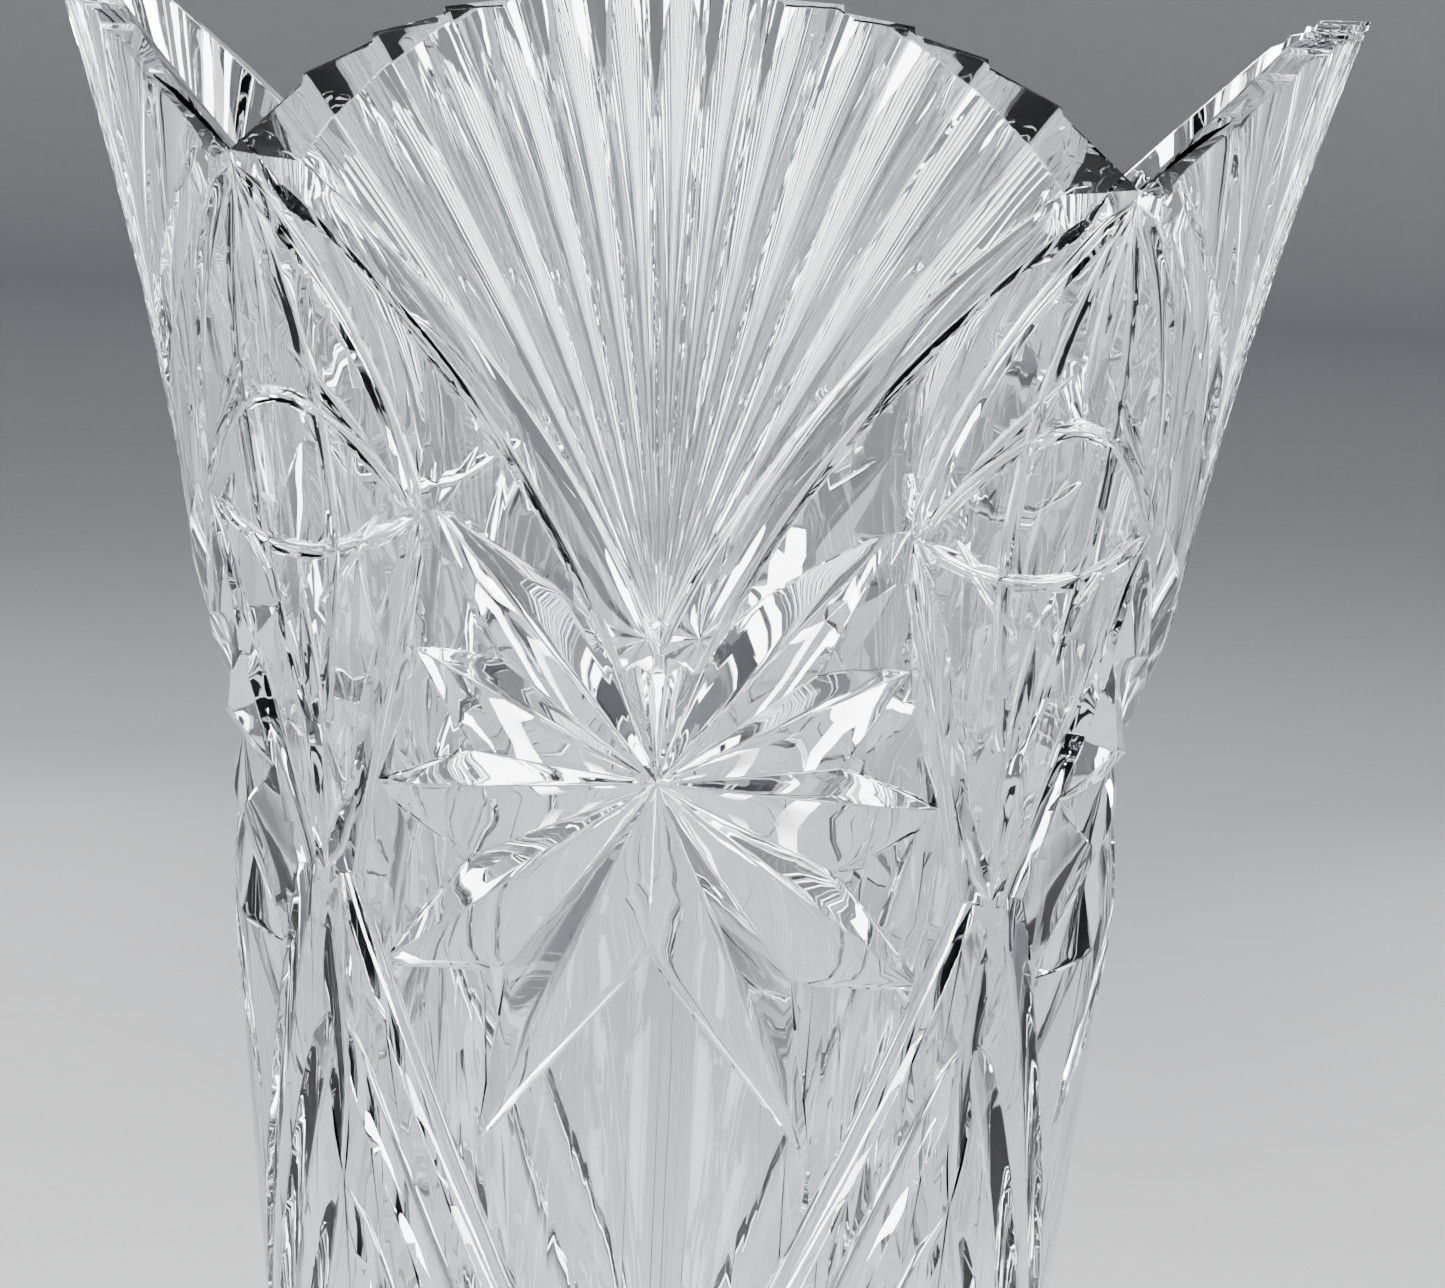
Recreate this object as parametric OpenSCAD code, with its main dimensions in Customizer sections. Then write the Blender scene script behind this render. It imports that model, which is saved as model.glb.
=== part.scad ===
// Cut crystal vase: a tall tapering body that flares into four scallops, with a fan and a star cut on
// each of its four faces, a hobstar on each corner and chevrons of mitre cuts down to the heel.
// The vase is one piece of glass. The nodes are zones of it that meet face to face.
// +Z is up, the origin is the middle of the resting face, and the first face looks along -Y.

/* [Body] */
// Height from the resting face to the top of each scallop
vase_h = 262; // [200:1:330]
// Outer radius where the body meets the resting face
foot_r = 40; // [32:0.5:52]
// Radius that the straight taper gains for each millimetre of height
lean = 0.12; // [0.06:0.01:0.2]
// Height at which the flare starts, measured down from the top
flare_drop = 112; // [80:1:150]
// Radius that the flare adds at the top
flare_add = 13.5; // [6:0.5:22]
// Wall thickness of the straight body, before cutting
body_wall = 9; // [7:0.5:12]
// Wall thickness at the top of the scallops, before cutting
rim_wall = 6.5; // [5:0.25:9]
// Thickness of the solid floor
floor_t = 22; // [14:0.5:30]
// Size of the slope between the floor and the inside wall
floor_slope = 8; // [4:0.5:12]

/* [Foot] */
// Height and width of the slope round the edge of the resting face
heel = 2.5; // [1:0.25:4]
// Width of the flat ring that the vase rests on
rest_w = 6.5; // [4:0.5:12]
// Depth of the hollow ground into the underside, inside that ring
kick_depth = 2.5; // [1:0.25:5]

/* [Rim and fan] */
// Drop from the top of a scallop to the notch between two scallops
scallop_drop = 22; // [12:0.5:30]
// Height of the small step at each flute's end on the rim
rim_step = 0.9; // [0.3:0.1:2]
// Drop from the top of a scallop to the point where the fan's flutes meet
fan_drop = 78; // [60:1:95]
// Number of flutes in a fan
fan_flutes = 13; // [9:2:17]
// Depth of a flute at the rim
flute_depth = 1.9; // [1:0.1:2.5]
// Width of the curved band on each side of a fan
band_w = 5.5; // [3:0.25:7]
// Depth of that band
band_depth = 1.8; // [1:0.1:2.5]

/* [Star] */
// Drop from the top of a scallop to the middle of the star
star_drop = 96; // [88:1:120]
// Depth of the star at its middle
star_depth = 3.6; // [2:0.1:4.5]
// Length of the shortest petal
petal_len = 35; // [28:0.5:38]
// Angle between neighbouring petals
petal_pitch = 30; // [26:0.5:32]
// Direction of the shortest petal, in degrees above level
petal_rise = 26.4; // [22:0.1:30]
// Length that petals gain with the square of their place below the shortest
petal_growth = 1.75; // [1:0.05:2.5]
// Distance from the middle at which neighbouring petals part
petal_part = 25; // [18:0.5:27]
// Direction of the star's wings, in degrees above level
wing_rise = 48.3; // [45:0.1:52]
// Length of the star's wings
wing_len = 43; // [36:0.5:48]

/* [Shield and corners] */
// Height of the shield's lower tip above the solid floor
shield_rise = 44; // [20:1:70]
// Drop from the top of a scallop to where the shields' frames cross on a corner
cross_drop = 110.5; // [104:0.5:118]
// Width of the mitre cuts that frame the shield
frame_w = 3.6; // [2:0.2:5]
// Drop from the top of a scallop to the middle of a hobstar
hobstar_drop = 61; // [56:0.5:66]
// Drop from the top of a scallop to the widest level of a corner's cell
cell_drop = 65; // [60:0.5:70]
// Half width of the button in a hobstar
button_w = 7.5; // [5:0.5:9]
// Half height of the button in a hobstar
button_h = 10; // [7:0.5:12]
// Distance from that crossing down to the first chevron
chevron_drop = 16.5; // [12:0.5:22]
// Distance from one chevron to the next
chevron_gap = 23; // [16:0.5:28]
// Width of the finer mitre cuts of the corners
mitre_w = 3; // [1.6:0.2:4]
// Ratio of a mitre cut's depth to its half width
mitre_steep = 0.85; // [0.5:0.05:1]

/* [Hidden] */
FACES = 4;
TURN = 360 / FACES;
HALF = TURN / 2;
PROUD = 0.3;           // run-out of a cut's edge above the glass
CLEAR = 3;             // reach of every cutter outside the glass
STEP = 16;             // longest straight step of the body's outline
ROUND = 80;            // flat steps that a full turn of the body has
PANEL_HALF = 27;       // half angle of a face zone, the rest is a corner zone
SIDE_TURN = 18.3;      // half angle of a corner's cell
SHIELD_TURN = 41.2;    // half angle of the shield at its widest
BAND_BEND = [14, 48];  // angle and rise from the star's middle of the point that bends a band
CHEVRONS = 3;          // chevrons under a crossing
TIE = 1.25;            // half length of a hobstar's cuts, in half sizes of its button
kick_r = foot_r - heel - rest_w;
notch_z = vase_h - scallop_drop;
fan_z = vase_h - fan_drop;
star_z = vase_h - star_drop;
shield_z = floor_t + shield_rise;
zone_z = shield_z - 2 * frame_w;    // the face and corner zones stand here, clear of the shield's tip
cross_z = vase_h - cross_drop;
cell_z = vase_h - cell_drop;
hobstar_z = vase_h - hobstar_drop;
flare_z = vase_h - flare_drop;
chevron_z = cross_z - chevron_drop;
NAMES = ["front", "right", "back", "left"];
CORNERS = ["front_right", "back_right", "back_left", "front_left"];

// Outer radius of the uncut body at height z
function outer_r(z) = foot_r + lean * z
    + flare_add * pow(max(0, (z - flare_z) / flare_drop), 2);
// Wall thickness at height z, thinning from the start of the flare to the rim
function wall(z) = body_wall
    + (rim_wall - body_wall) * min(1, max(0, (z - flare_z) / flare_drop));
function inner_r(z) = outer_r(z) - wall(z);
// A point at angle t from the middle of the first face, height z and depth d in the glass
function on_wall(t, z, d) = (outer_r(z) - d) * [sin(t), -cos(t), 0] + [0, 0, z];
// An angle for a distance u along the surface at height z
function turn_of(u, z) = u / outer_r(z) * 180 / PI;
function between(a, b, s) = a + (b - a) * s;
function curve(a, b, c, s) = pow(1 - s, 2) * a + 2 * s * (1 - s) * b + pow(s, 2) * c;
function levels(z0, z1) = let (n = ceil((z1 - z0) / STEP)) [for (i = [0:n]) between(z0, z1, i / n)];
function backwards(list) = [for (i = [len(list) - 1:-1:0]) list[i]];
// Height of the scallop's smooth outline at angle t
function rim_z(t) = vase_h - scallop_drop * pow(abs(t) / HALF, 2);
// Angle at the rim of the boundary i between two flutes
function flute_turn(i) = let (u = 2 * i / fan_flutes - 1) (HALF - 2) * (0.76 * u + 0.24 * pow(u, 3));

// The wall's section between two heights
module wall_section(z0, z1) {
    polygon(concat([for (z = levels(z0, z1)) [outer_r(z), z]],
                   [for (z = backwards(levels(z0, z1))) [inner_r(z), z]]));
}

// Part of the wall, from angle t0 through the angle span
module wall_part(z0, z1, t0, span) {
    rotate([0, 0, t0 - 90]) rotate_extrude(angle = span, $fn = ROUND) wall_section(z0, z1);
}

// A cutter whose floor is a net of [angle, height, depth] rows, closed outside the glass
module net_cut(rows) {
    n = len(rows);
    m = len(rows[0]);
    out = n * m;
    floor_points = [for (r = rows) for (p = r) on_wall(p[0], p[1], p[2])];
    cover_points = [for (r = rows) for (p = r) on_wall(p[0], p[1], -CLEAR)];
    function at(i, j) = i * m + j;
    polyhedron(concat(floor_points, cover_points), concat(
        [for (i = [0:n - 2]) for (j = [0:m - 2]) for (f = [
            [at(i, j), at(i, j + 1), at(i + 1, j)], [at(i, j + 1), at(i + 1, j + 1), at(i + 1, j)],
            [out + at(i, j), out + at(i + 1, j), out + at(i, j + 1)],
            [out + at(i, j + 1), out + at(i + 1, j), out + at(i + 1, j + 1)]]) f],
        [for (i = [0:n - 2]) for (f = [
            [at(i, 0), at(i + 1, 0), out + at(i, 0)], [at(i + 1, 0), out + at(i + 1, 0), out + at(i, 0)],
            [at(i + 1, m - 1), at(i, m - 1), out + at(i, m - 1)],
            [at(i + 1, m - 1), out + at(i, m - 1), out + at(i + 1, m - 1)]]) f],
        [for (j = [0:m - 2]) for (f = [
            [at(0, j + 1), at(0, j), out + at(0, j)], [at(0, j + 1), out + at(0, j), out + at(0, j + 1)],
            [at(n - 1, j), at(n - 1, j + 1), out + at(n - 1, j)],
            [at(n - 1, j + 1), out + at(n - 1, j + 1), out + at(n - 1, j)]]) f]));
}

// A V groove along a path of [angle, height] points. Its width and depth fade to nothing at an end
// that fades. It is a list of points, so that a path can be curved.
module groove(path, w, fade = [1, 1]) {
    n = len(path) - 1;
    function strength(s) = max(0.12, min(1, (fade[0] ? sin(min(90, 180 * s)) : 1),
                                            (fade[1] ? sin(min(90, 180 * (1 - s))) : 1)));
    function run(i) = let (a = path[max(0, i - 1)], b = path[min(n, i + 1)], r = outer_r(path[i][1]),
        d = [(b[0] - a[0]) * r * PI / 180, b[1] - a[1]]) d / norm(d);
    function rib(i) = let (d = run(i), h = w / 2 * strength(i / n), p = path[i],
        edges = [for (k = [1, -1]) [p[0] - k * turn_of(h * d[1], p[1]), p[1] + k * h * d[0]]])
        [on_wall(edges[0][0], edges[0][1], -PROUD), on_wall(p[0], p[1], h * mitre_steep),
         on_wall(edges[1][0], edges[1][1], -PROUD), on_wall(edges[1][0], edges[1][1], -CLEAR),
         on_wall(edges[0][0], edges[0][1], -CLEAR)];
    for (i = [0:n - 1])
        hull() polyhedron(concat(rib(i), rib(i + 1)), [[0, 1, 2, 3, 4], [9, 8, 7, 6, 5]]);
}

function straight(a, b, n = 4) = [for (i = [0:n]) between(a, b, i / n)];
function bowed(a, b, c, n = 5) = [for (i = [0:n]) curve(a, b, c, i / n)];

// Everything above a scallop's stepped rim, on the face that looks along -Y
module above_rim() {
    reach = outer_r(vase_h) * sin(HALF);
    function across(t) = outer_r(rim_z(t)) * sin(t);
    sides = [for (i = [0:fan_flutes - 1]) let (a = flute_turn(i), b = flute_turn(i + 1),
        lift = a + b > 0.01 ? [-rim_step, 0] : a + b < -0.01 ? [0, -rim_step] : [0, 0])
        for (p = [[across(a), rim_z(a) + lift[0]], [across(b), rim_z(b) + lift[1]]]) p];
    rotate([90, 0, 0]) linear_extrude(2 * reach) polygon(concat(
        [[-reach - 20, rim_z(HALF) + 20 - (reach - across(HALF))]], [[across(-HALF), notch_z]],
        [for (k = [1:len(sides) - 2]) sides[k]],
        [[across(HALF), notch_z]], [[reach + 20, rim_z(HALF) + 20 - (reach - across(HALF))]],
        [[reach + 20, vase_h + 60], [-reach - 20, vase_h + 60]]));
}

// The fan's flutes, from just above their meeting point to above the rim
module fan() {
    rows = [0.05, 0.35, 0.7, 1.06];
    net_cut([for (s = rows) [for (k = [0:2 * fan_flutes])
        let (t = k % 2 == 0 ? flute_turn(k / 2)
                            : (flute_turn((k - 1) / 2) + flute_turn((k + 1) / 2)) / 2)
        [t * s, between(fan_z, rim_z(t), s), k % 2 == 0 ? 0.2 : between(0.3, flute_depth, s)]]]);
}

// The curved flat-floored band on one side of the fan, from the star to the notch
module band(side) {
    net_cut([for (s = [0.14, 0.3, 0.5, 0.7, 0.85, 1]) let (
        low = curve([0, star_z], [0, star_z] + BAND_BEND, [HALF, notch_z], s), z = low[1],
        w = band_w * min(1, 0.45 + 2 * s) * min(1, 2.6 - 2 * s), lean_in = between(20, 58, s))
        [for (p = side > 0 ? [1, 0.75, 0.25, 0] : [0, 0.25, 0.75, 1])
            [side * (low[0] - turn_of(p * w * cos(lean_in), z)), z + p * w * sin(lean_in),
             p == 0 || p == 1 ? -PROUD : band_depth]]]);
}

// The star: spokes of [direction, length, 1 for a valley or 0 for a ridge] round its middle
module star() {
    petals = [for (i = [3:-1:0]) [petal_rise - petal_pitch * i, petal_len + petal_growth * i * i, 1]];
    parts = [for (i = [0:2]) [between(petals[i][0], petals[i + 1][0], 0.42),
                              petal_part * (i == 0 ? 1.15 : 1), 0]];
    above = 90 - wing_rise;       // what is left for the kites between a wing and upright
    half = [[-90, 0.8 * petal_part, 0], petals[0], parts[0], petals[1], parts[1], petals[2], parts[2],
            petals[3], [between(petal_rise, wing_rise, 0.7), 0.66 * petal_part, 0],
            [wing_rise, wing_len, 1], [wing_rise + above / 3, 0.63 * wing_len, 0],
            [wing_rise + above / 2, 0.51 * wing_len, 1], [wing_rise + 0.8 * above, 0.3 * wing_len, 0]];
    spokes = concat(half, [[90, 0.4 * wing_len, 1]],
                    [for (i = [len(half) - 1:-1:1]) [180 - half[i][0], half[i][1], half[i][2]]]);
    m = len(spokes);
    rings = [0.35, 0.7, 1.02];
    function place(k, f, d) = let (u = f * spokes[k][1] * cos(spokes[k][0]),
        z = star_z + f * spokes[k][1] * sin(spokes[k][0])) on_wall(turn_of(u, z), z, d);
    function deep(k, f) = f > 1 ? -PROUD : star_depth * pow(1 - f, spokes[k][2] == 1 ? 0.8 : 1.5);
    out = 3 * m + 1;
    function at(j, k) = 1 + j * m + k % m;
    polyhedron(concat([on_wall(0, star_z, star_depth)],
                      [for (f = rings) for (k = [0:m - 1]) place(k, f, deep(k, f))],
                      [on_wall(0, star_z, -CLEAR)],
                      [for (f = rings) for (k = [0:m - 1]) place(k, f, -CLEAR)]), concat(
        [for (k = [0:m - 1]) for (f = [[0, at(0, k), at(0, k + 1)],
                                       [out, out + at(0, k + 1), out + at(0, k)]]) f],
        [for (j = [0:1]) for (k = [0:m - 1]) for (f = [
            [at(j, k), at(j + 1, k), at(j, k + 1)], [at(j, k + 1), at(j + 1, k), at(j + 1, k + 1)],
            [out + at(j, k), out + at(j, k + 1), out + at(j + 1, k)],
            [out + at(j, k + 1), out + at(j + 1, k + 1), out + at(j + 1, k)]]) f],
        [for (k = [0:m - 1]) for (f = [[at(2, k), out + at(2, k), at(2, k + 1)],
                                       [at(2, k + 1), out + at(2, k), out + at(2, k + 1)]]) f]));
}

// The frame of the shield on one side of the face, from the corner cell's side to the shield's tip
module shield_frame(side) {
    groove([for (p = concat(straight([HALF - SIDE_TURN, cell_z], [SHIELD_TURN, cross_z], 3),
                            [for (i = [1:5]) curve([SHIELD_TURN, cross_z],
                                [between(0, SHIELD_TURN, 0.62), between(shield_z, cross_z, 0.52)],
                                [0, shield_z], i / 5)])) [side * p[0], p[1]]], frame_w, [0, 0]);
}

// The hobstar's crossing mitre cuts round its raised button
module hobstar() {
    for (i = [0:7]) {
        a = 22.5 + 45 * i;
        foot = [button_w * cos(a), button_h * sin(a)];
        along = [-button_w * sin(a), button_h * cos(a)];
        groove([for (p = straight(foot - TIE * along, foot + TIE * along))
            [HALF + turn_of(p[0], hobstar_z + p[1]), hobstar_z + p[1]]], mitre_w);
    }
}

// The cell on the corner to the right of the first face: its outline, rays, hobstar and lower leaves
module corner_cell() {
    top = [HALF, notch_z - mitre_w];
    ray_top = top - [0, mitre_w];
    tie_h = TIE * button_h;
    for (side = [-1, 1]) {
        tip = [HALF + side * SIDE_TURN, cell_z];
        groove(bowed(top, [HALF + 0.77 * side * SIDE_TURN, between(cell_z, notch_z, 0.55)], tip), mitre_w);
        groove(bowed(tip, [HALF + 0.6 * side * SIDE_TURN, between(cross_z, cell_z, 0.35)],
                     [HALF, cross_z]), mitre_w);
        groove(straight(ray_top, [HALF + 0.4 * side * SIDE_TURN, hobstar_z + tie_h]), 0.8 * mitre_w);
        groove(straight([HALF + 0.08 * side * SIDE_TURN, between(cross_z, hobstar_z, 0.32)],
                        [HALF + 0.66 * side * SIDE_TURN, hobstar_z - button_h]), mitre_w);
    }
    groove(straight(ray_top, [HALF, hobstar_z + tie_h]), 0.8 * mitre_w);
    groove(straight([HALF, between(cross_z, hobstar_z, 0.1)], [HALF, hobstar_z - tie_h]), mitre_w);
    hobstar();
}

// A chevron under the crossing, from its top on the corner down both sides to the heel or the face.
// It runs as steep as the shield's frames.
module chevron(z) {
    slope = SHIELD_TURN / (cross_z - shield_z);
    low = max(floor_t + floor_slope, z - (HALF - 1) / slope);
    for (side = [-1, 1])
        groove(straight([HALF, z], [HALF + side * slope * (z - low), low], 5), mitre_w);
}

module corner_column() {
    for (i = [0:CHEVRONS - 1]) chevron(chevron_z - chevron_gap * i);
    groove(straight([HALF, cross_z - mitre_w], [HALF, chevron_z - chevron_gap], 3), mitre_w);
}

// A face's rim, fan and star, with the bands and frames of the sides asked for
module face_cuts(sides) {
    above_rim();
    fan();
    star();
    for (side = sides) {
        band(side);
        shield_frame(side);
    }
}

module base() {
    color("gainsboro") rotate_extrude($fn = ROUND) polygon(concat(
        [[0, kick_depth], [kick_r - kick_depth, kick_depth], [kick_r, 0], [foot_r - heel, 0]],
        [for (z = levels(heel, floor_t)) [outer_r(z), z]], [[0, floor_t]]));
}

module lower_body() {
    foot_in = inner_r(floor_t) - floor_slope;
    color("gainsboro") difference() {
        rotate_extrude($fn = ROUND) polygon(concat(
            [for (z = levels(floor_t, zone_z)) [outer_r(z), z]],
            [for (z = backwards(levels(floor_t + floor_slope, zone_z))) [inner_r(z), z]],
            [[foot_in, floor_t]]));
        for (k = [0:FACES - 1]) rotate([0, 0, TURN * k]) for (i = [0:CHEVRONS - 1])
            chevron(chevron_z - chevron_gap * i);
    }
}

module face(k) {
    color("whitesmoke") rotate([0, 0, TURN * k]) difference() {
        wall_part(zone_z, vase_h, -PANEL_HALF, 2 * PANEL_HALF);
        face_cuts([-1, 1]);
        for (turn = [0, -TURN]) rotate([0, 0, turn]) corner_column();
    }
}

module corner(k) {
    color("lightsteelblue") rotate([0, 0, TURN * k]) difference() {
        wall_part(zone_z, vase_h, PANEL_HALF, TURN - 2 * PANEL_HALF);
        face_cuts([1]);
        rotate([0, 0, TURN]) face_cuts([-1]);
        corner_cell();
        corner_column();
    }
}

base();
lower_body();
for (k = [0:FACES - 1]) {
    face(k);
    corner(k);
}
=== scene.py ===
"""A tall cut crystal vase, made as one clear piece of glass over its ten zones.

The glass starts as a turned blank. The scalloped rim, the fans, the bands, the stars, the shields, the
hobstars and the chevrons are then cut out of it one after another, the same on each of its four sides.
Sizes are in millimetres and angles in degrees unless a comment says otherwise. A turn is an angle round
the vase from the middle of the front face, a height is measured from the resting face, and a depth is
measured into the glass.
"""

import logging
import math
from collections import Counter
from dataclasses import dataclass, field
from enum import Enum

import bmesh
import bpy
from mathutils import Matrix, Vector

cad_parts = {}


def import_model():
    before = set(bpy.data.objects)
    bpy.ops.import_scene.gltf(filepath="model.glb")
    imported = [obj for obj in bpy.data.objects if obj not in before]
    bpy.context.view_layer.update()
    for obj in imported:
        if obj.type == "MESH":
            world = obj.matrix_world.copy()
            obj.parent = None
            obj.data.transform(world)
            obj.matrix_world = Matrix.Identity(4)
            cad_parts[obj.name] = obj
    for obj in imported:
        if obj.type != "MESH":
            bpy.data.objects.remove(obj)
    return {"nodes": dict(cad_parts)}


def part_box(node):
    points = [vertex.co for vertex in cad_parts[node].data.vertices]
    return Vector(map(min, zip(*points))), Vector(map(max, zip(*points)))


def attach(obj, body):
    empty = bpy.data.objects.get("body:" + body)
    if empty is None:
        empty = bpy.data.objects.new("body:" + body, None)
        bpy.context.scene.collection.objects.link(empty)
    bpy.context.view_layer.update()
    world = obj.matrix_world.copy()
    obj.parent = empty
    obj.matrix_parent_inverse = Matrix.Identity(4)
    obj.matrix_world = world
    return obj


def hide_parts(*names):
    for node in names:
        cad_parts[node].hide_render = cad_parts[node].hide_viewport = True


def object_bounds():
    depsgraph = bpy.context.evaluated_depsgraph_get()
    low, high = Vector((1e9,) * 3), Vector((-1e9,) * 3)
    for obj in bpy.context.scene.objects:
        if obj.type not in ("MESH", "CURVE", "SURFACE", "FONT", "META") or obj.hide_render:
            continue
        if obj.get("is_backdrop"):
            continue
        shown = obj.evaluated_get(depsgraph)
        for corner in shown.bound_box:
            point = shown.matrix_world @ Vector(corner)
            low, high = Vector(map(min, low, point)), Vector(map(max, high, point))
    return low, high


LOG = logging.getLogger("vase")
MM = 0.001
# The pattern repeats on four sides, and a corner lies half way between two faces.
SIDES = 4
QUARTER = 90.0
CORNER = 45.0
# How far the edges of a cutting tool stand out of the glass.
PROUD = 0.3
# A place on the wall, as turn and height.
Spot = tuple[float, float]


class Shape(Enum):
    """How a cut's depth runs along it."""

    LENS = "fades to nothing at both ends"
    EVEN = "the same depth nearly from end to end"


# ---------------------------------------------------------------- working in edit mode


def deselect_all() -> None:
    """Leaves edit mode and deselects every object."""
    if bpy.context.object and bpy.context.object.mode != "OBJECT":
        bpy.ops.object.mode_set(mode="OBJECT")
    bpy.ops.object.select_all(action="DESELECT")


def hold(obj: bpy.types.Object) -> None:
    """Makes one object the only selected one and the active one.

    Args:
        obj: The object that the next operators act on.
    """
    deselect_all()
    obj.select_set(True)
    bpy.context.view_layer.objects.active = obj


def edit_all(obj: bpy.types.Object) -> None:
    """Opens an object in edit mode with all of its mesh selected.

    Args:
        obj: The object to edit.
    """
    hold(obj)
    bpy.ops.object.mode_set(mode="EDIT")
    bpy.ops.mesh.select_all(action="SELECT")


def carve(body: bpy.types.Object, tool: bpy.types.Object, operation: str) -> None:
    """Cuts a closed tool out of a body, or welds it on, and throws the tool away.

    Args:
        body: The solid that stays.
        tool: The solid that is used up.
        operation: DIFFERENCE or UNION.
    """
    hold(body)
    modifier = body.modifiers.new("carve", "BOOLEAN")
    modifier.operation = operation
    modifier.solver = "MANIFOLD"
    modifier.object = tool
    bpy.ops.object.modifier_apply(modifier=modifier.name)
    bpy.data.objects.remove(tool, do_unlink=True)


def between(a: float, b: float, share: float) -> float:
    """The number that lies a share of the way from a to b."""
    return a + (b - a) * share


def straight(start: Spot, end: Spot, steps: int = 8) -> list[Spot]:
    """Evenly spaced spots on a line.

    Args:
        start: First spot, as turn and height.
        end: Last spot.
        steps: Number of steps from first to last.

    Returns:
        The spots in order.
    """
    return [(between(start[0], end[0], i / steps), between(start[1], end[1], i / steps))
            for i in range(steps + 1)]


def bowed(start: Spot, pull: Spot, end: Spot, steps: int = 12) -> list[Spot]:
    """Spots on a curve that leaves its start towards a pull and arrives from it at its end.

    Args:
        start: First spot, as turn and height.
        pull: The spot that draws the curve.
        end: Last spot.
        steps: Number of steps from first to last.

    Returns:
        The spots in order.
    """
    spots = []
    for i in range(steps + 1):
        s = i / steps
        spots.append(tuple((1 - s) ** 2 * start[k] + 2 * s * (1 - s) * pull[k] + s * s * end[k]
                           for k in (0, 1)))
    return spots


def mirrored(spots: list[Spot], about: float = 0.0) -> list[Spot]:
    """The same path on the other side of an upright line at a turn."""
    return [(2 * about - turn, height) for turn, height in spots]


# ---------------------------------------------------------------- the glass before cutting


@dataclass(frozen=True)
class Wall:
    """The smooth wall of the vase, before anything is cut in it."""

    top: float
    foot_r: float
    lean: float
    flare_add: float
    floor: float
    flare_drop: float = 112.0
    body_wall: float = 9.0
    rim_wall: float = 6.5

    @classmethod
    def from_frame(cls, low: Vector, high: Vector) -> "Wall":
        """Reads the wall's sizes off the CAD zones.

        Args:
            low: Lowest corner of the whole object, in metres.
            high: Its highest corner.

        Returns:
            The wall.
        """
        base_top, body_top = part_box("base")[1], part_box("lower_body")[1]
        lean = (body_top[0] - base_top[0]) / (body_top[2] - base_top[2])
        foot_r = base_top[0] / MM - lean * base_top[2] / MM
        top = (high[2] - low[2]) / MM
        return cls(top=top, foot_r=foot_r, lean=lean, floor=base_top[2] / MM,
                   flare_add=high[0] / MM - foot_r - lean * top)

    @property
    def flare_z(self) -> float:
        """Height at which the flare starts."""
        return self.top - self.flare_drop

    def flare(self, height: float) -> float:
        """Share of the flare that is reached at a height, from 0 at its start to 1 at the top."""
        return max(0.0, (height - self.flare_z) / self.flare_drop)

    def radius(self, height: float) -> float:
        """Outer radius at a height."""
        return self.foot_r + self.lean * height + self.flare_add * self.flare(height) ** 2

    def inside(self, height: float) -> float:
        """Inner radius at a height."""
        return self.radius(height) - between(self.body_wall, self.rim_wall, min(1.0, self.flare(height)))

    def point(self, turn: float, height: float, depth: float) -> Vector:
        """A point in the wall, in metres."""
        r = self.radius(height) - depth
        angle = math.radians(turn)
        return Vector((r * math.sin(angle), -r * math.cos(angle), height)) * MM

    def turn_of(self, width: float, height: float) -> float:
        """The turn that covers a width on the surface at a height."""
        return math.degrees(width / self.radius(height))


@dataclass
class Blank:
    """The turned glass that the cuts are made in."""

    wall: Wall
    steps: int = 192
    level: float = 7.0
    heel: float = 2.5
    rest_w: float = 6.5
    kick_depth: float = 2.5
    floor_round: float = 8.0
    round_steps: int = 6
    above: float = 6.0

    def outline(self) -> list[tuple[float, float]]:
        """The section as radius and height, from the hollow underside out, up, over and down inside.

        Returns:
            The corners of the section in order.
        """
        wall = self.wall
        kick_r = wall.foot_r - self.heel - self.rest_w
        crown = wall.top + self.above
        count = math.ceil((crown - self.heel) / self.level)
        heights = [between(self.heel, crown, i / count) for i in range(count + 1)]
        # The hollow underside, the resting ring and the rounded heel.
        outline = [(kick_r - 6.0, self.kick_depth), (kick_r - 3.0, self.kick_depth - 0.3),
                   (kick_r - 1.0, 0.7), (kick_r, 0.0), (wall.foot_r - self.heel, 0.0),
                   (wall.foot_r - self.heel + 1.3, 0.35), (wall.foot_r - 0.45, 1.2)]
        outline += [(wall.radius(z), z) for z in heights]
        low = wall.floor + self.floor_round
        outline += [(wall.inside(z), z) for z in reversed(heights) if z > low + 1.0]
        # The round corner inside, and the floor, which dips a little to its middle.
        corner_r = wall.inside(low) - self.floor_round
        for i in range(self.round_steps + 1):
            a = math.radians(90 * i / self.round_steps)
            outline.append((corner_r + self.floor_round * math.cos(a), low - self.floor_round * math.sin(a)))
        outline.append((corner_r * 0.5, wall.floor - 0.15))
        return outline

    def build(self) -> bpy.types.Object:
        """Raises the blank from a disc, ring by ring.

        Returns:
            The closed solid.
        """
        outline = self.outline()
        (r, z), rest = outline[0], outline[1:]
        deselect_all()
        bpy.ops.mesh.primitive_circle_add(vertices=self.steps, radius=r * MM, fill_type="NGON",
                                          location=(0, 0, z * MM))
        blank = bpy.context.object
        bpy.ops.object.transform_apply(location=True, rotation=True, scale=True)
        edit_all(blank)
        for next_r, next_z in rest:
            bpy.ops.mesh.extrude_region_move(TRANSFORM_OT_translate={"value": (0, 0, (next_z - z) * MM)})
            bpy.ops.transform.resize(value=(next_r / r, next_r / r, 1), center_override=(0, 0, 0))
            r, z = next_r, next_z
        bpy.ops.mesh.select_all(action="SELECT")
        bpy.ops.mesh.normals_make_consistent(inside=False)
        bpy.ops.object.mode_set(mode="OBJECT")
        return blank


# ---------------------------------------------------------------- cutting tools


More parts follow.
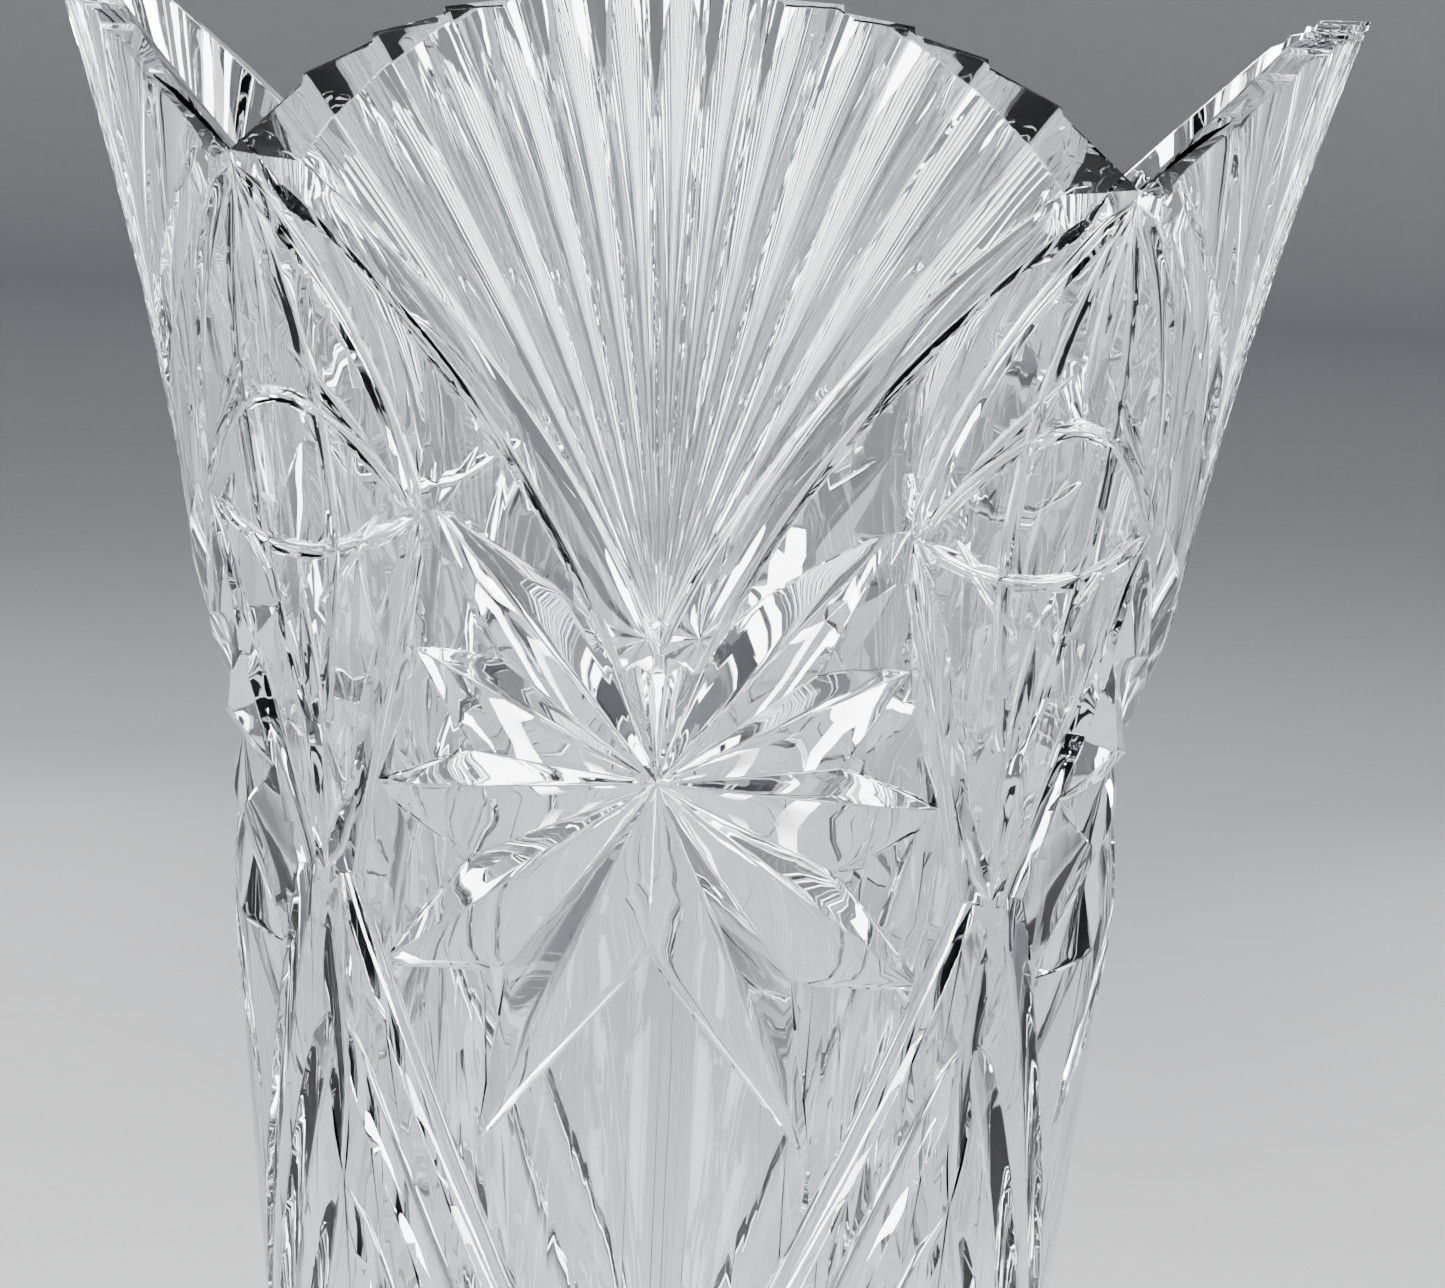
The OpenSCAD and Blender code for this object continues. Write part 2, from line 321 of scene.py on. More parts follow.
def grid(rows: list[list[Vector]]) -> bpy.types.Object:
    """Makes an open grid with its corners at given places.

    Args:
        rows: Places of the corners in metres, row by row.

    Returns:
        The grid.
    """
    deselect_all()
    bpy.ops.mesh.primitive_grid_add(x_subdivisions=len(rows[0]) - 1, y_subdivisions=len(rows) - 1, size=1)
    net = bpy.context.object
    corners = sorted(net.data.vertices, key=lambda v: (round(v.co.y, 5), v.co.x))
    for corner, place in zip(corners, (place for row in rows for place in row)):
        corner.co = place
    return net


def lay_net(rows: list[list[Vector]], reach: float = 1.07) -> bpy.types.Object:
    """Lays a grid on the floor of a cut and thickens it outwards into a closed cutting tool.

    Args:
        rows: Places of the grid's corners in metres, row by row.
        reach: How far out from the axis the tool goes, as a share of the radius.

    Returns:
        The cutting tool.
    """
    net = grid(rows)
    edit_all(net)
    bpy.ops.mesh.remove_doubles(threshold=0.01 * MM)
    bpy.ops.mesh.extrude_region_move(TRANSFORM_OT_translate={"value": (0, 0, 0)})
    bpy.ops.transform.resize(value=(reach, reach, 1), center_override=(0, 0, 0))
    bpy.ops.mesh.select_all(action="SELECT")
    bpy.ops.mesh.quads_convert_to_tris(quad_method="BEAUTY", ngon_method="BEAUTY")
    bpy.ops.mesh.normals_make_consistent(inside=False)
    bpy.ops.object.mode_set(mode="OBJECT")
    return net


@dataclass(frozen=True)
class Mitre:
    """A cut made along a path by a wheel with a V edge, or with a flat edge where it has a floor."""

    path: list[Spot]
    depth: float
    steep: float = 0.85
    floor: float = 0.0
    shape: Shape = Shape.LENS
    hollow: float = 0.12
    run_out: float = 0.05
    narrowest: float = 0.12

    def depth_at(self, s: float) -> float:
        """Depth at a share of the way along.

        Args:
            s: Share of the path, from 0 to 1.

        Returns:
            The depth, at or just above the surface where the cut has run out.
        """
        share = {Shape.LENS: 1 - (2 * s - 1) ** 2,
                 Shape.EVEN: min(1.0, 12 * min(s, 1 - s)) ** 0.5}[self.shape]
        return self.depth * share - self.run_out

    def tool(self, wall: Wall) -> bpy.types.Object:
        """Makes the cutting tool.

        Args:
            wall: The wall that is cut.

        Returns:
            The tool.
        """
        last = len(self.path) - 1
        rows = []
        for i, (turn, height) in enumerate(self.path):
            a, b = self.path[max(0, i - 1)], self.path[min(last, i + 1)]
            run = Vector((math.radians(b[0] - a[0]) * wall.radius(height), b[1] - a[1])).normalized()
            depth = self.depth_at(i / last)
            half = max(self.narrowest, (depth + PROUD) / self.steep)
            middle = self.floor / 2 * min(1.0, max(0.1, depth / self.depth * 2))
            marks = [(-1.0, -PROUD), (-0.5, 0.5 * (depth - PROUD) + self.hollow * depth), (0.0, depth)]
            section = [(-middle + half * u, d) for u, d in marks]
            section += [(middle - half * u, d) for u, d in reversed(marks)]
            if not self.floor:
                section.pop(3)
            rows.append([wall.point(turn - wall.turn_of(u * run.y, height), height + u * run.x, d)
                         for u, d in section])
        return lay_net(rows)


@dataclass(frozen=True)
class Rim:
    """The stepped scallops of the rim, one step at the end of each flute."""

    drop: float = 22.0
    step: float = 0.9
    flutes: int = 13
    spread: float = 5.0
    crowd: float = 0.0384
    beyond: float = 20.0

    def outline(self, wall: Wall, turn: float) -> float:
        """Height of the scallop's smooth outline at a turn."""
        return wall.top - self.drop * (abs(turn) / CORNER) ** 2

    def notch(self, wall: Wall) -> float:
        """Height of the notch between two scallops."""
        return wall.top - self.drop

    def flute_turn(self, i: float) -> float:
        """Turn at the rim of a flute's edge, counted from the middle. Flutes widen to the sides."""
        return self.spread * i + self.crowd * i ** 3

    def edges(self) -> list[float]:
        """Turns of all flute edges at the rim, from left to right."""
        return [self.flute_turn(i - self.flutes / 2) for i in range(self.flutes + 1)]

    def tool(self, wall: Wall) -> bpy.types.Object:
        """Makes the tool that takes away everything above one scallop.

        Args:
            wall: The wall that is cut.

        Returns:
            The tool.
        """
        def across(turn: float) -> float:
            """How far to the side the outline is at a turn."""
            return wall.radius(self.outline(wall, turn)) * math.sin(math.radians(turn))

        edges = self.edges()
        marks = [(across(-CORNER), self.notch(wall))]
        for a, b in zip(edges, edges[1:]):
            right = self.step if a + b > 0.01 else 0.0
            left = self.step if a + b < -0.01 else 0.0
            marks += [(across(a), self.outline(wall, a) - right), (across(b), self.outline(wall, b) - left)]
        # The first and the last mark are the notches, and the tool goes on past them at a slant.
        marks = [marks[0]] + marks[2:-1] + [(across(CORNER), self.notch(wall))]
        (left_x, left_z), (right_x, right_z) = marks[0], marks[-1]
        marks = [(left_x - self.beyond, left_z + self.beyond), *marks,
                 (right_x + self.beyond, right_z + self.beyond)]
        crown, front = wall.top + 3 * self.beyond, 1.5 * wall.radius(wall.top)
        tool = grid([[Vector((x, -front, z)) * MM for x, z in marks],
                     [Vector((x, -front, crown)) * MM for x, _ in marks]])
        edit_all(tool)
        bpy.ops.mesh.extrude_region_move(TRANSFORM_OT_translate={"value": (0, front * MM, 0)})
        bpy.ops.mesh.select_all(action="SELECT")
        bpy.ops.mesh.normals_make_consistent(inside=False)
        bpy.ops.object.mode_set(mode="OBJECT")
        return tool


@dataclass(frozen=True)
class Fan:
    """The hollow flutes that spread from one point up to the rim."""

    rim: Rim
    drop: float = 78.0
    depth: float = 1.35
    ridge: float = 0.15
    round_to: float = 0.08
    ridge_share: float = 0.35
    start: float = 0.03
    run: float = 1.04
    deepen: float = 0.85
    rows: int = 14
    section: tuple[float, ...] = (0.0, 0.035, 0.08, 0.15, 0.25, 0.375, 0.5, 0.625, 0.75, 0.85, 0.92, 0.965)

    def hollow(self, u: float) -> float:
        """How deep a flute is across its width, with its ridges rounded over.

        Args:
            u: Share of the flute's width, from 0 to 1.

        Returns:
            The share of the flute's full depth.
        """
        edge = min(u, 1 - u)
        if edge >= self.round_to:
            return 1 - (2 * u - 1) ** 2
        at_end = 1 - (1 - 2 * self.round_to) ** 2
        rise = (edge / self.round_to) ** 2
        return at_end * (self.ridge_share + (1 - self.ridge_share) * rise)

    def tool(self, wall: Wall) -> bpy.types.Object:
        """Makes the tool for all flutes of one face.

        Args:
            wall: The wall that is cut.

        Returns:
            The tool.
        """
        low = wall.top - self.drop
        edges = self.rim.edges()
        rows = []
        for i in range(self.rows + 1):
            s = self.start + self.run * i / self.rows
            row = []
            for k, (a, b) in enumerate(zip(edges, edges[1:])):
                for u in self.section + ((1.0,) if k == len(edges) - 2 else ()):
                    turn = between(a, b, u)
                    valley = self.hollow(u) * self.depth * min(1.0, s) ** self.deepen
                    row.append(wall.point(turn * s, between(low, self.rim.outline(wall, turn), s),
                                          self.ridge + valley))
            rows.append(row)
        return lay_net(rows)


@dataclass(frozen=True)
class Band:
    """The two curved flat-floored bands that run from the star up to the notches."""

    rim: Rim
    star_drop: float = 96.0
    bend: Spot = (14.0, 48.0)
    width: float = 4.6
    depth: float = 2.1
    steep: float = 2.0

    def mitres(self, wall: Wall) -> list[Mitre]:
        """The cuts on the right and the left of a fan.

        Args:
            wall: The wall that is cut.

        Returns:
            Both cuts.
        """
        star = wall.top - self.star_drop
        edge = bowed((0.0, star), (self.bend[0], star + self.bend[1]),
                     (CORNER, self.rim.notch(wall)), 26)
        path = []
        for i in range(3, len(edge) - 1):
            (t0, z0), (t1, z1) = edge[i - 1], edge[i + 1]
            run = Vector((math.radians(t1 - t0) * wall.radius(edge[i][1]), z1 - z0)).normalized()
            inwards = self.width / 2 + 0.5
            path.append((edge[i][0] - wall.turn_of(inwards * run.y, edge[i][1]),
                         edge[i][1] + inwards * run.x))
        cuts = [path, mirrored(path)]
        return [Mitre(cut, self.depth, self.steep, self.width, Shape.EVEN, 0.0) for cut in cuts]


@dataclass(frozen=True)
class Spoke:
    """One line of the star, from its middle outwards, in degrees above level and millimetres."""

    direction: float
    length: float
    valley: bool


@dataclass(frozen=True)
class Star:
    """The star under each fan: four leaves and a wing to each side, and two kites above."""

    drop: float = 96.0
    depth: float = 4.2
    half: tuple[Spoke, ...] = (
        Spoke(-90.0, 20.0, False), Spoke(-65.5, 50.5, True), Spoke(-53.0, 28.7, False),
        Spoke(-35.0, 42.0, True), Spoke(-23.8, 24.3, False), Spoke(-4.0, 36.5, True),
        Spoke(7.3, 22.9, False), Spoke(25.5, 34.6, True), Spoke(36.8, 24.1, False),
        Spoke(48.3, 43.0, True), Spoke(62.0, 27.0, False), Spoke(69.5, 19.5, False),
        Spoke(79.0, 18.3, True), Spoke(86.0, 18.0, False))
    rings: tuple[float, ...] = (0.0, 0.08, 0.2, 0.35, 0.5, 0.65, 0.8, 0.92, 1.0, 1.04)
    between_spokes: int = 3
    valley_fade: float = 0.6
    ridge_fade: float = 1.35

    def spokes(self) -> list[Spoke]:
        """All spokes round the star, starting and ending straight down."""
        left = [Spoke(180 - s.direction, s.length, s.valley) for s in reversed(self.half[1:])]
        return [*self.half, Spoke(90.0, 18.0, False), *left, Spoke(270.0, self.half[0].length, False)]

    def place(self, wall: Wall, direction: float, reach: float, depth: float) -> Vector:
        """A point of the star's floor, in metres."""
        height = wall.top - self.drop + reach * math.sin(math.radians(direction))
        return wall.point(wall.turn_of(reach * math.cos(math.radians(direction)), height), height, depth)

    def floor(self, spoke: Spoke, share: float) -> float:
        """Depth along a spoke. Valleys stay deep and ridges rise early.

        Args:
            spoke: The spoke.
            share: Share of its length, from 0 at the star's middle to a little over 1.

        Returns:
            The depth, which is below zero, out of the glass, past the spoke's end.
        """
        if share >= 1.0:
            return -PROUD * (share - 1.0) / (self.rings[-1] - 1.0)
        return self.depth * (1 - share) ** (self.valley_fade if spoke.valley else self.ridge_fade)

    def tool(self, wall: Wall) -> bpy.types.Object:
        """Makes the tool for the whole star.

        Args:
            wall: The wall that is cut.

        Returns:
            The tool.
        """
        spokes = self.spokes()
        rows = []
        for share in self.rings:
            row = []
            for a, b in zip(spokes, spokes[1:]):
                start = self.place(wall, a.direction, share * a.length, self.floor(a, share))
                end = self.place(wall, b.direction, share * b.length, self.floor(b, share))
                row += [start.lerp(end, j / self.between_spokes) for j in range(self.between_spokes)]
            row.append(end)
            rows.append(row)
        return lay_net(rows)


@dataclass(frozen=True)
class Shield:
    """The frame round the plain shield below each star, from the corner cells down to one tip."""

    rise: float = 44.0
    cell_drop: float = 65.0
    cross_drop: float = 110.5
    waist: float = 26.7
    widest: float = 41.2
    pull: Spot = (0.62, 0.52)
    width: float = 1.2
    depth: float = 1.5
    steep: float = 0.95

    def mitres(self, wall: Wall) -> list[Mitre]:
        """The frame's cuts on both sides of a face.

        Args:
            wall: The wall that is cut.

        Returns:
            Both cuts.
        """
        cross, tip = wall.top - self.cross_drop, wall.floor + self.rise
        pull = between(0.0, self.widest, self.pull[0]), between(tip, cross, self.pull[1])
        lower = bowed((self.widest, cross), pull, (0.0, tip), 16)
        path = straight((self.waist, wall.top - self.cell_drop), (self.widest, cross), 8)[:-1] + lower
        return [Mitre(cut, self.depth, self.steep, self.width, Shape.EVEN, 0.1)
                for cut in (path, mirrored(path))]


@dataclass(frozen=True)
class CornerCell:
    """The pointed cell on a corner: its outline, the hobstar's long crossing mitres, rays and lenses."""

    rim: Rim
    cell_drop: float = 65.0
    cross_drop: float = 110.5
    hobstar_drop: float = 61.0
    foot_drop: float = 95.0
    half: float = 18.3
    button: Spot = (6.4, 9.5)
    outline: float = 1.25
    fine: float = 0.85

    def hobstar(self, wall: Wall) -> list[Mitre]:
        """The mitres that run from tip to tip of the cell, past the four sides of its raised button.

        Args:
            wall: The wall that is cut.

        Returns:
            The cuts.
        """
        top, foot = self.rim.notch(wall) - 2.5, wall.top - self.foot_drop
        cell, hob = wall.top - self.cell_drop, wall.top - self.hobstar_drop
        wide, tall = self.button
        cuts = []
        for side in (-1, 1):
            upright = bowed((CORNER, top), (CORNER + 2 * side * wide, 2 * hob - (top + foot) / 2),
                            (CORNER, foot), 16)
            across = bowed((CORNER - self.half + 0.6, cell), (CORNER, 2 * (hob + side * tall) - cell),
                           (CORNER + self.half - 0.6, cell), 16)
            cuts += [Mitre(path, self.fine, 0.8, shape=Shape.EVEN) for path in (upright, across)]
            for rise in (-1, 1):
                tie = straight((CORNER + side * 0.35 * wide, hob + rise * 1.75 * tall),
                               (CORNER + side * 2.15 * wide, hob + rise * 0.35 * tall))
                cuts.append(Mitre(tie, self.fine, 0.8))
        return cuts

    def mitres(self, wall: Wall) -> list[Mitre]:
        """All cuts of the cell.

        Args:
            wall: The wall that is cut.

        Returns:
            The cuts.
        """
        notch, cell = self.rim.notch(wall), wall.top - self.cell_drop
        cross, hob = wall.top - self.cross_drop, wall.top - self.hobstar_drop
        cuts = self.hobstar(wall)
        for side in (-1, 1):
            def at(offset: float, height: float) -> Spot:
                """A spot beside the corner, on this side of it."""
                return CORNER + side * offset, height

            # The outline above and below the cell's side tip, then the lens inside each of the two.
            tip = at(self.half, cell)
            cuts += [
                Mitre(bowed(at(0, notch - 1.5), at(14.2, between(cell, notch, 0.55)), tip), self.outline,
                      shape=Shape.EVEN),
                Mitre(bowed(tip, at(11, between(cross, cell, 0.35)), at(0, cross)), self.outline,
                      shape=Shape.EVEN),
                Mitre(bowed(at(18.6, cell + 5), at(18.8, cell + 26), at(5, notch - 3)), 1.5, 0.4),
                Mitre(bowed(at(16.4, cell - 7), at(13.0, cell - 21), at(4, cross + 5)), 1.3, 0.42),
            ]
        # One upright ray above the button and one below it.
        cuts.append(Mitre(straight((CORNER, notch - 4), (CORNER, hob + self.button[1] + 2)), 0.8, 0.6))
        cuts.append(Mitre(straight((CORNER, cross + 2), (CORNER, hob - self.button[1] - 3)), 1.1, 0.6))
        return cuts


@dataclass(frozen=True)
class Chevrons:
    """The nested mitres that spread down from the crossing on each corner to the heel."""

    rise: float = 44.0
    cross_drop: float = 110.5
    widest: float = 41.2
    first: float = 16.5
    gap: float = 23.0
    count: int = 3
    depth: float = 1.6
    steep: float = 0.62
    above_floor: float = 8.0

    def mitres(self, wall: Wall) -> list[Mitre]:
        """All cuts under one crossing.

        Args:
            wall: The wall that is cut.

        Returns:
            The cuts.
        """
        cross = wall.top - self.cross_drop
        slope = self.widest / (cross - wall.floor - self.rise)
        cuts = []
        for i in range(self.count):
            apex = cross - self.first - self.gap * i
            low = max(wall.floor + self.above_floor, apex - (CORNER - 1) / slope)
            for side in (-1, 1):
                path = straight((CORNER, apex), (CORNER + side * slope * (apex - low), low), 16)
                cuts.append(Mitre(path, self.depth, self.steep, shape=Shape.EVEN))
        ray = straight((CORNER, cross - 3), (CORNER, cross - self.first - self.gap), 12)
        cuts.append(Mitre(ray, 1.4, 0.6))
        return cuts


# ---------------------------------------------------------------- finishes


def linear(hexcode: str) -> tuple[float, float, float, float]:
    """Turns an sRGB hex colour into the linear values that a shader takes.

    Args:
        hexcode: Six hex digits.

    Returns:
        Red, green, blue and full opacity.
    """
    parts = [int(hexcode[i:i + 2], 16) / 255 for i in (0, 2, 4)]
    return (*[p / 12.92 if p <= 0.04045 else ((p + 0.055) / 1.055) ** 2.4 for p in parts], 1.0)


def add_node(owner: bpy.types.ID, kind: str, values: dict | None = None,
             links: dict | None = None, **settings: object) -> bpy.types.Node:
    """Adds one node to a material or world, sets it up and links its inputs.

    Args:
        owner: The material or world that gets the node.
        kind: The node's type name.
        values: Input values by socket name or number.
        links: Output sockets to link, by input socket name or number.
        settings: Properties of the node itself.

    Returns:
        The node.
    """
    tree = owner.node_tree
    node = tree.nodes.new(kind)
    for name, value in settings.items():
        setattr(node, name, value)
    usable = {socket.name: socket for socket in reversed(node.inputs) if socket.enabled}
    for name, value in (values or {}).items():
        socket = node.inputs[name] if isinstance(name, int) else usable[name]
        socket.default_value = value
    for name, source in (links or {}).items():
        socket = node.inputs[name] if isinstance(name, int) else usable[name]
        tree.links.new(source, socket)
    return node


def result(mix: bpy.types.Node) -> bpy.types.NodeSocket:
    """The output that a Mix node uses in its present mode."""
    return next(socket for socket in mix.outputs if socket.enabled)


@dataclass(frozen=True)
class LeadCrystal:
    """Clear lead crystal, moulded, cut and fire polished: colourless, heavy, and brighter than window
    glass because it bends light more. Light that stays long in it turns a little grey, so deep facets
    look darker. The ring that it rests on is ground and looks frosted."""

    name: str = "lead_crystal_fire_polished"
    colour: str = "FCFDFE"
    ior: float = 1.545
    grey: str = "C9D3DA"
    grey_per_metre: float = 9.0
    ripple_mm: float = 14.0
    ripple_depth: float = 0.00003

    def build(self) -> bpy.types.Material:
        """Makes the material.

        Returns:
            The material.
        """
        material = bpy.data.materials.new(self.name)
        material.use_nodes = True
        material.node_tree.nodes.clear()
        place = add_node(material, "ShaderNodeTexCoord").outputs["Object"]
        # A slow ripple of about ripple_mm across, left where the glass chilled against the mould.
        ripple = add_node(material, "ShaderNodeTexNoise", {"Scale": 1 / (self.ripple_mm * MM), "Detail": 1.5},
                          {"Vector": place})
        bump = add_node(material, "ShaderNodeBump", {"Strength": 1.0, "Distance": self.ripple_depth},
                        {"Height": ripple.outputs[0]})
        # The ground ring is the lowest millimetre.
        height = add_node(material, "ShaderNodeSeparateXYZ", links={"Vector": place}).outputs["Z"]
        ring = add_node(material, "ShaderNodeMapRange", {"From Min": 0.0004, "From Max": 0.001,
                                                         "To Min": 0.4, "To Max": 0.0},
                        {"Value": height})
        glass = add_node(material, "ShaderNodeBsdfPrincipled",
                         {"Base Color": linear(self.colour), "IOR": self.ior,
                          "Transmission Weight": 1.0},
                         {"Roughness": ring.outputs["Result"], "Normal": bump.outputs["Normal"]})
        deep = add_node(material, "ShaderNodeVolumeAbsorption",
                        {"Color": linear(self.grey), "Density": self.grey_per_metre})
        add_node(material, "ShaderNodeOutputMaterial", links={"Surface": glass.outputs[0],
                                                              "Volume": deep.outputs[0]})
        return material


@dataclass(frozen=True)
class StudioPaper:
    """Matt pale paper under the vase, with a faint fibre that only breaks up its tone."""

    name: str = "pale_studio_paper"
    light: str = "C9CACC"
    dark: str = "C3C4C7"
    fibre_mm: float = 30.0

    def build(self) -> bpy.types.Material:
        """Makes the material.

        Returns:
            The material.
        """
        material = bpy.data.materials.new(self.name)
        material.use_nodes = True
        material.node_tree.nodes.clear()
        place = add_node(material, "ShaderNodeTexCoord").outputs["Object"]
        fibre = add_node(material, "ShaderNodeTexNoise", {"Scale": 1 / (self.fibre_mm * MM), "Detail": 4.0},
                         {"Vector": place})
        tone = add_node(material, "ShaderNodeMix", {"A": linear(self.light), "B": linear(self.dark)},
                        {"Factor": fibre.outputs["Fac"]}, data_type="RGBA")
        paper = add_node(material, "ShaderNodeBsdfPrincipled", {"Roughness": 0.85},
                         {"Base Color": result(tone)})
        add_node(material, "ShaderNodeOutputMaterial", links={"Surface": paper.outputs["BSDF"]})
        return material


# ---------------------------------------------------------------- the vase


@dataclass
class Vase:
    """The finished vase."""

    wall: Wall
    rim: Rim = field(default_factory=Rim)
    edge_round: float = 0.2
    edge_above: float = 18.0
    smooth_below: float = 38.0
    flat_within: float = 0.3
    meeting_most: int = 4
    shortest: float = 0.8

    def quarter_tool(self, wall: Wall) -> bpy.types.Object:
        """Welds the cutting tools of one face and one corner into one.

        Args:
            wall: The wall that is cut.

        Returns:
            The tool for a quarter of the vase.
        """
        mitres: list[Mitre] = []
        for part in (Band(self.rim), Shield(), CornerCell(self.rim), Chevrons()):
            cuts = part.mitres(wall)
            LOG.info("%s: %d cuts", type(part).__name__, len(cuts))
            mitres += cuts
        tool = Fan(self.rim).tool(wall)
        carve(tool, Star().tool(wall), "UNION")
        for mitre in mitres:
            carve(tool, mitre.tool(wall), "UNION")
        return tool

    def drop_chips(self, mesh: bmesh.types.BMesh) -> None:
        """Takes away the chips that the cuts set free of the vase.

        Args:
            mesh: The mesh of the cut glass.
        """
        pieces: list[list[bmesh.types.BMVert]] = []
        seen: set[bmesh.types.BMVert] = set()
        for start in mesh.verts:
            if start in seen:
                continue
            seen.add(start)
            piece = [start]
            for vert in piece:
                for edge in vert.link_edges:
                    other = edge.other_vert(vert)
                    if other not in seen:
                        seen.add(other)
                        piece.append(other)
            pieces.append(piece)
        pieces.sort(key=len)
        for piece in pieces[:-1]:
            bmesh.ops.delete(mesh, geom=piece, context="VERTS")
        LOG.info("chips dropped: %d", len(pieces) - 1)

    def mark_edges(self, mesh: bmesh.types.BMesh, weight: bmesh.types.BMLayerItem) -> None:
        """Marks the edges to be rounded.

        An edge stays sharp where it is very short or where many of them run into one point, because
        rounding would push a spike out of the glass there.

        Args:
            mesh: The mesh of the cut glass.
            weight: The layer that holds how much each edge is rounded.
        """
        steep = math.radians(self.edge_above)
        sharp = [edge for edge in mesh.edges if edge.is_manifold and edge.calc_face_angle(0.0) > steep]
        meeting = Counter(vert for edge in sharp for vert in edge.verts)
        for edge in sharp:
            crowd = max(meeting[vert] for vert in edge.verts)
            if crowd <= self.meeting_most and edge.calc_length() > self.shortest * MM:
                edge[weight] = 1.0

    def polish(self, vase: bpy.types.Object) -> None:
        """Cleans the cut glass, takes its chips away and rounds its edges as fire polishing does.

        Args:
            vase: The cut glass.
        """
        edit_all(vase)
        bpy.ops.mesh.remove_doubles(threshold=0.004 * MM)
        bpy.ops.mesh.dissolve_degenerate(threshold=0.002 * MM)
        bpy.ops.mesh.select_all(action="SELECT")
        bpy.ops.mesh.dissolve_limited(angle_limit=math.radians(self.flat_within), delimit={"NORMAL"})
        bpy.ops.object.mode_set(mode="OBJECT")
        mesh = bmesh.new()
        mesh.from_mesh(vase.data)
        weight = mesh.edges.layers.float.new("bevel_weight_edge")
        self.drop_chips(mesh)
        self.mark_edges(mesh, weight)
        mesh.to_mesh(vase.data)
        mesh.free()
        hold(vase)
        bevel = vase.modifiers.new("polished_edges", "BEVEL")
        bevel.width = self.edge_round * MM
        bevel.segments = 1
        bevel.limit_method = "WEIGHT"
        bevel.use_clamp_overlap = False
        bevel.miter_outer = "MITER_SHARP"
        bpy.ops.object.modifier_apply(modifier=bevel.name)
        bpy.ops.object.shade_smooth_by_angle(angle=math.radians(self.smooth_below))
        even = vase.modifiers.new("even_facets", "WEIGHTED_NORMAL")
        even.mode = "FACE_AREA"
        even.weight = 50
        even.keep_sharp = True
        bpy.ops.object.modifier_apply(modifier=even.name)

    def build(self) -> bpy.types.Object:
        """Makes the blank and takes every cut out of it.

        Returns:
            The vase.
        """
        vase = Blank(self.wall).build()
        vase.name = vase.data.name = "crystal_vase"
        LOG.info("blank: %d faces", len(vase.data.polygons))
        for name, make in (("rim", self.rim.tool), ("faces and corners", self.quarter_tool)):
            tool = make(self.wall)
            LOG.info("tool for the %s: %d faces", name, len(tool.data.polygons))
            for side in range(SIDES):
                copy = tool.copy()
                copy.data = tool.data.copy()
                bpy.context.collection.objects.link(copy)
                copy.data.transform(Matrix.Rotation(math.radians(QUARTER * side), 4, "Z"))
                carve(vase, copy, "DIFFERENCE")
            bpy.data.objects.remove(tool, do_unlink=True)
        self.polish(vase)
        vase.data.materials.clear()
        vase.data.materials.append(LeadCrystal().build())
        LOG.info("vase: %d faces", len(vase.data.polygons))
        return vase


# ---------------------------------------------------------------- the studio


@dataclass(frozen=True)
class SoftBox:
    """A square soft light that looks at the vase."""

    name: str
    turn: float
    away: float
    height: float
    size: Spot
    power: float
    seen: bool = True
    spread: float = 180.0

    def build(self, aim: Vector) -> None:
        """Hangs the light.

        Args:
            aim: What it looks at, in metres.
        """
        lamp = bpy.data.lights.new(self.name, "AREA")
        lamp.shape = "RECTANGLE"
        lamp.size, lamp.size_y = self.size
        lamp.energy = self.power
        lamp.spread = math.radians(self.spread)
        holder = bpy.data.objects.new(self.name, lamp)
        bpy.context.collection.objects.link(holder)
        angle = math.radians(self.turn)
        holder.location = (self.away * math.sin(angle), -self.away * math.cos(angle), self.height)
        holder.visible_camera = self.seen
        holder.rotation_euler = (aim - holder.location).to_track_quat("-Z", "Y").to_euler()


